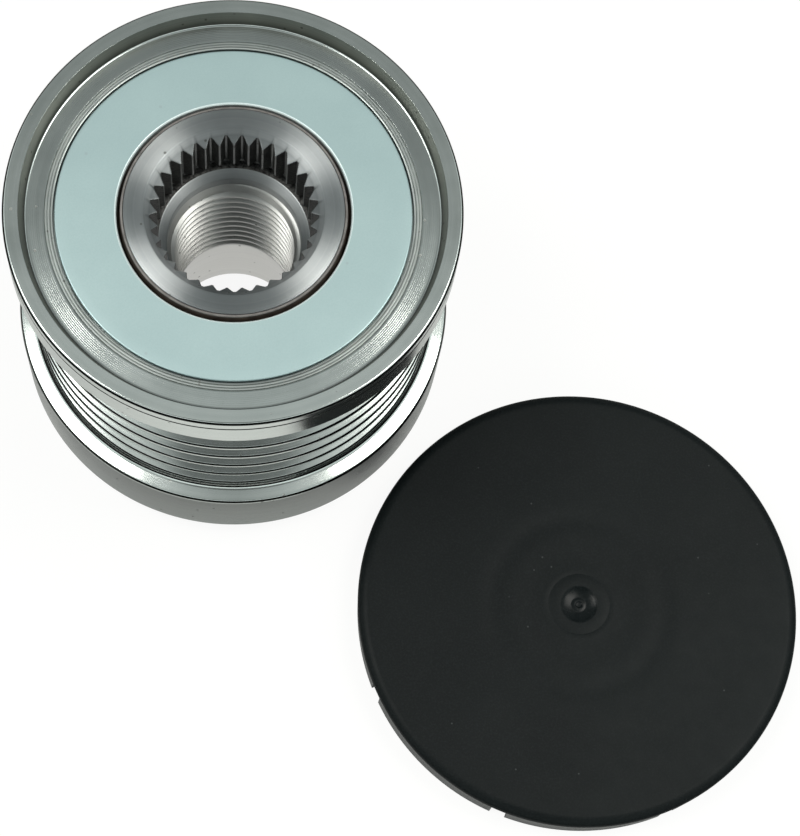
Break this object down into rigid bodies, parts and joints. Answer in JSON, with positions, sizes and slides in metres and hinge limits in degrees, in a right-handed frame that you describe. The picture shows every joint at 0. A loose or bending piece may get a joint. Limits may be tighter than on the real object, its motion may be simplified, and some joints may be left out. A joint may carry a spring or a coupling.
{
  "type": "alternator pulley",
  "caption": "Overrunning alternator pulley with a V-grooved steel ring, a splined and threaded hub, roller bearings, a one-way roller clutch and a plastic dust cap lying beside it.",
  "frame": {"origin": "on the shaft axis, in the plane of the hub's rear face, on which the pulley stands", "axes": "+Z along the shaft axis towards the front end with the spline; +X and +Y across it, with the cap lying towards +X and -Y"},
  "size_m": [0.0982, 0.0929, 0.0435],
  "materials": {
    "ring_steel": "fine turned steel, lightly oiled",
    "hub_steel": "hardened steel, fine ground face",
    "race_steel": "ground bearing steel",
    "plated_steel": "satin zinc plate with a pale blue cast",
    "seal_steel": "pressed sheet steel",
    "seal_rubber": "moulded brown rubber",
    "cage_nylon": "glass-filled nylon",
    "spring_steel": "bright spring strip",
    "cap_plastic": "fine matte moulded black plastic"
  },
  "bodies": {
    "hub": {"hub": "hub_steel", "rear_race": "race_steel", "ramp_ring": "race_steel", "clutch_cage": "cage_nylon", "clutch_spring_1": "spring_steel", "clutch_spring_2": "spring_steel", "clutch_spring_3": "spring_steel", "clutch_spring_4": "spring_steel", "clutch_spring_5": "spring_steel", "clutch_spring_6": "spring_steel", "clutch_spring_7": "spring_steel", "clutch_spring_8": "spring_steel", "cap": "cap_plastic"},
    "pulley": {"pulley_ring": "ring_steel", "race_sleeve": "race_steel", "front_disc": "plated_steel", "front_seal": "seal_rubber", "rear_seal_case": "seal_steel", "rear_seal_lip": "seal_rubber"},
    "front_cage": {"front_cage": "cage_nylon"},
    "rear_cage": {"rear_cage": "cage_nylon"},
    "front_roller_01": {"front_roller_01": "race_steel"},
    "front_roller_02": {"front_roller_02": "race_steel"},
    "front_roller_03": {"front_roller_03": "race_steel"},
    "front_roller_04": {"front_roller_04": "race_steel"},
    "front_roller_05": {"front_roller_05": "race_steel"},
    "front_roller_06": {"front_roller_06": "race_steel"},
    "front_roller_07": {"front_roller_07": "race_steel"},
    "front_roller_08": {"front_roller_08": "race_steel"},
    "front_roller_09": {"front_roller_09": "race_steel"},
    "front_roller_10": {"front_roller_10": "race_steel"},
    "front_roller_11": {"front_roller_11": "race_steel"},
    "front_roller_12": {"front_roller_12": "race_steel"},
    "rear_roller_01": {"rear_roller_01": "race_steel"},
    "rear_roller_02": {"rear_roller_02": "race_steel"},
    "rear_roller_03": {"rear_roller_03": "race_steel"},
    "rear_roller_04": {"rear_roller_04": "race_steel"},
    "rear_roller_05": {"rear_roller_05": "race_steel"},
    "rear_roller_06": {"rear_roller_06": "race_steel"},
    "rear_roller_07": {"rear_roller_07": "race_steel"},
    "rear_roller_08": {"rear_roller_08": "race_steel"},
    "rear_roller_09": {"rear_roller_09": "race_steel"},
    "rear_roller_10": {"rear_roller_10": "race_steel"},
    "rear_roller_11": {"rear_roller_11": "race_steel"},
    "rear_roller_12": {"rear_roller_12": "race_steel"},
    "clutch_roller_1": {"clutch_roller_1": "race_steel"},
    "clutch_roller_2": {"clutch_roller_2": "race_steel"},
    "clutch_roller_3": {"clutch_roller_3": "race_steel"},
    "clutch_roller_4": {"clutch_roller_4": "race_steel"},
    "clutch_roller_5": {"clutch_roller_5": "race_steel"},
    "clutch_roller_6": {"clutch_roller_6": "race_steel"},
    "clutch_roller_7": {"clutch_roller_7": "race_steel"},
    "clutch_roller_8": {"clutch_roller_8": "race_steel"}
  },
  "joints": [
    {"name": "pulley_spin", "type": "hinge", "parent": "hub", "child": "pulley", "pos_m": [0, 0, 0.022], "axis": [0, 0, 1], "continuous": true},
    {"name": "front_cage_spin", "type": "hinge", "parent": "hub", "child": "front_cage", "pos_m": [0, 0, 0.03449], "axis": [0, 0, 1], "continuous": true},
    {"name": "rear_cage_spin", "type": "hinge", "parent": "hub", "child": "rear_cage", "pos_m": [0, 0, 0.01085], "axis": [0, 0, 1], "continuous": true},
    {"name": "front_roller_01_spin", "type": "hinge", "parent": "front_cage", "child": "front_roller_01", "pos_m": [0.01488, 0, 0.03449], "axis": [0, 0, 1], "continuous": true},
    {"name": "front_roller_02_spin", "type": "hinge", "parent": "front_cage", "child": "front_roller_02", "pos_m": [0.01289, 0.00744, 0.03449], "axis": [0, 0, 1], "continuous": true},
    {"name": "front_roller_03_spin", "type": "hinge", "parent": "front_cage", "child": "front_roller_03", "pos_m": [0.00744, 0.01289, 0.03449], "axis": [0, 0, 1], "continuous": true},
    {"name": "front_roller_04_spin", "type": "hinge", "parent": "front_cage", "child": "front_roller_04", "pos_m": [0, 0.01488, 0.03449], "axis": [0, 0, 1], "continuous": true},
    {"name": "front_roller_05_spin", "type": "hinge", "parent": "front_cage", "child": "front_roller_05", "pos_m": [-0.00744, 0.01289, 0.03449], "axis": [0, 0, 1], "continuous": true},
    {"name": "front_roller_06_spin", "type": "hinge", "parent": "front_cage", "child": "front_roller_06", "pos_m": [-0.01289, 0.00744, 0.03449], "axis": [0, 0, 1], "continuous": true},
    {"name": "front_roller_07_spin", "type": "hinge", "parent": "front_cage", "child": "front_roller_07", "pos_m": [-0.01488, 0, 0.03449], "axis": [0, 0, 1], "continuous": true},
    {"name": "front_roller_08_spin", "type": "hinge", "parent": "front_cage", "child": "front_roller_08", "pos_m": [-0.01289, -0.00744, 0.03449], "axis": [0, 0, 1], "continuous": true},
    {"name": "front_roller_09_spin", "type": "hinge", "parent": "front_cage", "child": "front_roller_09", "pos_m": [-0.00744, -0.01289, 0.03449], "axis": [0, 0, 1], "continuous": true},
    {"name": "front_roller_10_spin", "type": "hinge", "parent": "front_cage", "child": "front_roller_10", "pos_m": [0, -0.01488, 0.03449], "axis": [0, 0, 1], "continuous": true},
    {"name": "front_roller_11_spin", "type": "hinge", "parent": "front_cage", "child": "front_roller_11", "pos_m": [0.00744, -0.01289, 0.03449], "axis": [0, 0, 1], "continuous": true},
    {"name": "front_roller_12_spin", "type": "hinge", "parent": "front_cage", "child": "front_roller_12", "pos_m": [0.01289, -0.00744, 0.03449], "axis": [0, 0, 1], "continuous": true},
    {"name": "rear_roller_01_spin", "type": "hinge", "parent": "rear_cage", "child": "rear_roller_01", "pos_m": [0.01488, 0, 0.01085], "axis": [0, 0, 1], "continuous": true},
    {"name": "rear_roller_02_spin", "type": "hinge", "parent": "rear_cage", "child": "rear_roller_02", "pos_m": [0.01289, 0.00744, 0.01085], "axis": [0, 0, 1], "continuous": true},
    {"name": "rear_roller_03_spin", "type": "hinge", "parent": "rear_cage", "child": "rear_roller_03", "pos_m": [0.00744, 0.01289, 0.01085], "axis": [0, 0, 1], "continuous": true},
    {"name": "rear_roller_04_spin", "type": "hinge", "parent": "rear_cage", "child": "rear_roller_04", "pos_m": [0, 0.01488, 0.01085], "axis": [0, 0, 1], "continuous": true},
    {"name": "rear_roller_05_spin", "type": "hinge", "parent": "rear_cage", "child": "rear_roller_05", "pos_m": [-0.00744, 0.01289, 0.01085], "axis": [0, 0, 1], "continuous": true},
    {"name": "rear_roller_06_spin", "type": "hinge", "parent": "rear_cage", "child": "rear_roller_06", "pos_m": [-0.01289, 0.00744, 0.01085], "axis": [0, 0, 1], "continuous": true},
    {"name": "rear_roller_07_spin", "type": "hinge", "parent": "rear_cage", "child": "rear_roller_07", "pos_m": [-0.01488, 0, 0.01085], "axis": [0, 0, 1], "continuous": true},
    {"name": "rear_roller_08_spin", "type": "hinge", "parent": "rear_cage", "child": "rear_roller_08", "pos_m": [-0.01289, -0.00744, 0.01085], "axis": [0, 0, 1], "continuous": true},
    {"name": "rear_roller_09_spin", "type": "hinge", "parent": "rear_cage", "child": "rear_roller_09", "pos_m": [-0.00744, -0.01289, 0.01085], "axis": [0, 0, 1], "continuous": true},
    {"name": "rear_roller_10_spin", "type": "hinge", "parent": "rear_cage", "child": "rear_roller_10", "pos_m": [0, -0.01488, 0.01085], "axis": [0, 0, 1], "continuous": true},
    {"name": "rear_roller_11_spin", "type": "hinge", "parent": "rear_cage", "child": "rear_roller_11", "pos_m": [0.00744, -0.01289, 0.01085], "axis": [0, 0, 1], "continuous": true},
    {"name": "rear_roller_12_spin", "type": "hinge", "parent": "rear_cage", "child": "rear_roller_12", "pos_m": [0.01289, -0.00744, 0.01085], "axis": [0, 0, 1], "continuous": true},
    {"name": "clutch_roller_1_spin", "type": "hinge", "parent": "hub", "child": "clutch_roller_1", "pos_m": [0.01515, 0, 0.02267], "axis": [0, 0, 1], "continuous": true},
    {"name": "clutch_roller_2_spin", "type": "hinge", "parent": "hub", "child": "clutch_roller_2", "pos_m": [0.01071, 0.01071, 0.02267], "axis": [0, 0, 1], "continuous": true},
    {"name": "clutch_roller_3_spin", "type": "hinge", "parent": "hub", "child": "clutch_roller_3", "pos_m": [0, 0.01515, 0.02267], "axis": [0, 0, 1], "continuous": true},
    {"name": "clutch_roller_4_spin", "type": "hinge", "parent": "hub", "child": "clutch_roller_4", "pos_m": [-0.01071, 0.01071, 0.02267], "axis": [0, 0, 1], "continuous": true},
    {"name": "clutch_roller_5_spin", "type": "hinge", "parent": "hub", "child": "clutch_roller_5", "pos_m": [-0.01515, 0, 0.02267], "axis": [0, 0, 1], "continuous": true},
    {"name": "clutch_roller_6_spin", "type": "hinge", "parent": "hub", "child": "clutch_roller_6", "pos_m": [-0.01071, -0.01071, 0.02267], "axis": [0, 0, 1], "continuous": true},
    {"name": "clutch_roller_7_spin", "type": "hinge", "parent": "hub", "child": "clutch_roller_7", "pos_m": [0, -0.01515, 0.02267], "axis": [0, 0, 1], "continuous": true},
    {"name": "clutch_roller_8_spin", "type": "hinge", "parent": "hub", "child": "clutch_roller_8", "pos_m": [0.01071, -0.01071, 0.02267], "axis": [0, 0, 1], "continuous": true}
  ],
  "couplings": [
    {"joint": "front_cage_spin", "follows": "pulley_spin", "ratio": 0.57124},
    {"joint": "rear_cage_spin", "follows": "pulley_spin", "ratio": 0.57124},
    {"joint": "front_roller_01_spin", "follows": "pulley_spin", "ratio": 3.4382},
    {"joint": "front_roller_02_spin", "follows": "pulley_spin", "ratio": 3.4382},
    {"joint": "front_roller_03_spin", "follows": "pulley_spin", "ratio": 3.4382},
    {"joint": "front_roller_04_spin", "follows": "pulley_spin", "ratio": 3.4382},
    {"joint": "front_roller_05_spin", "follows": "pulley_spin", "ratio": 3.4382},
    {"joint": "front_roller_06_spin", "follows": "pulley_spin", "ratio": 3.4382},
    {"joint": "front_roller_07_spin", "follows": "pulley_spin", "ratio": 3.4382},
    {"joint": "front_roller_08_spin", "follows": "pulley_spin", "ratio": 3.4382},
    {"joint": "front_roller_09_spin", "follows": "pulley_spin", "ratio": 3.4382},
    {"joint": "front_roller_10_spin", "follows": "pulley_spin", "ratio": 3.4382},
    {"joint": "front_roller_11_spin", "follows": "pulley_spin", "ratio": 3.4382},
    {"joint": "front_roller_12_spin", "follows": "pulley_spin", "ratio": 3.4382},
    {"joint": "rear_roller_01_spin", "follows": "pulley_spin", "ratio": 3.4382},
    {"joint": "rear_roller_02_spin", "follows": "pulley_spin", "ratio": 3.4382},
    {"joint": "rear_roller_03_spin", "follows": "pulley_spin", "ratio": 3.4382},
    {"joint": "rear_roller_04_spin", "follows": "pulley_spin", "ratio": 3.4382},
    {"joint": "rear_roller_05_spin", "follows": "pulley_spin", "ratio": 3.4382},
    {"joint": "rear_roller_06_spin", "follows": "pulley_spin", "ratio": 3.4382},
    {"joint": "rear_roller_07_spin", "follows": "pulley_spin", "ratio": 3.4382},
    {"joint": "rear_roller_08_spin", "follows": "pulley_spin", "ratio": 3.4382},
    {"joint": "rear_roller_09_spin", "follows": "pulley_spin", "ratio": 3.4382},
    {"joint": "rear_roller_10_spin", "follows": "pulley_spin", "ratio": 3.4382},
    {"joint": "rear_roller_11_spin", "follows": "pulley_spin", "ratio": 3.4382},
    {"joint": "rear_roller_12_spin", "follows": "pulley_spin", "ratio": 3.4382},
    {"joint": "clutch_roller_1_spin", "follows": "pulley_spin", "ratio": 9.1892},
    {"joint": "clutch_roller_2_spin", "follows": "pulley_spin", "ratio": 9.1892},
    {"joint": "clutch_roller_3_spin", "follows": "pulley_spin", "ratio": 9.1892},
    {"joint": "clutch_roller_4_spin", "follows": "pulley_spin", "ratio": 9.1892},
    {"joint": "clutch_roller_5_spin", "follows": "pulley_spin", "ratio": 9.1892},
    {"joint": "clutch_roller_6_spin", "follows": "pulley_spin", "ratio": 9.1892},
    {"joint": "clutch_roller_7_spin", "follows": "pulley_spin", "ratio": 9.1892},
    {"joint": "clutch_roller_8_spin", "follows": "pulley_spin", "ratio": 9.1892}
  ]
}
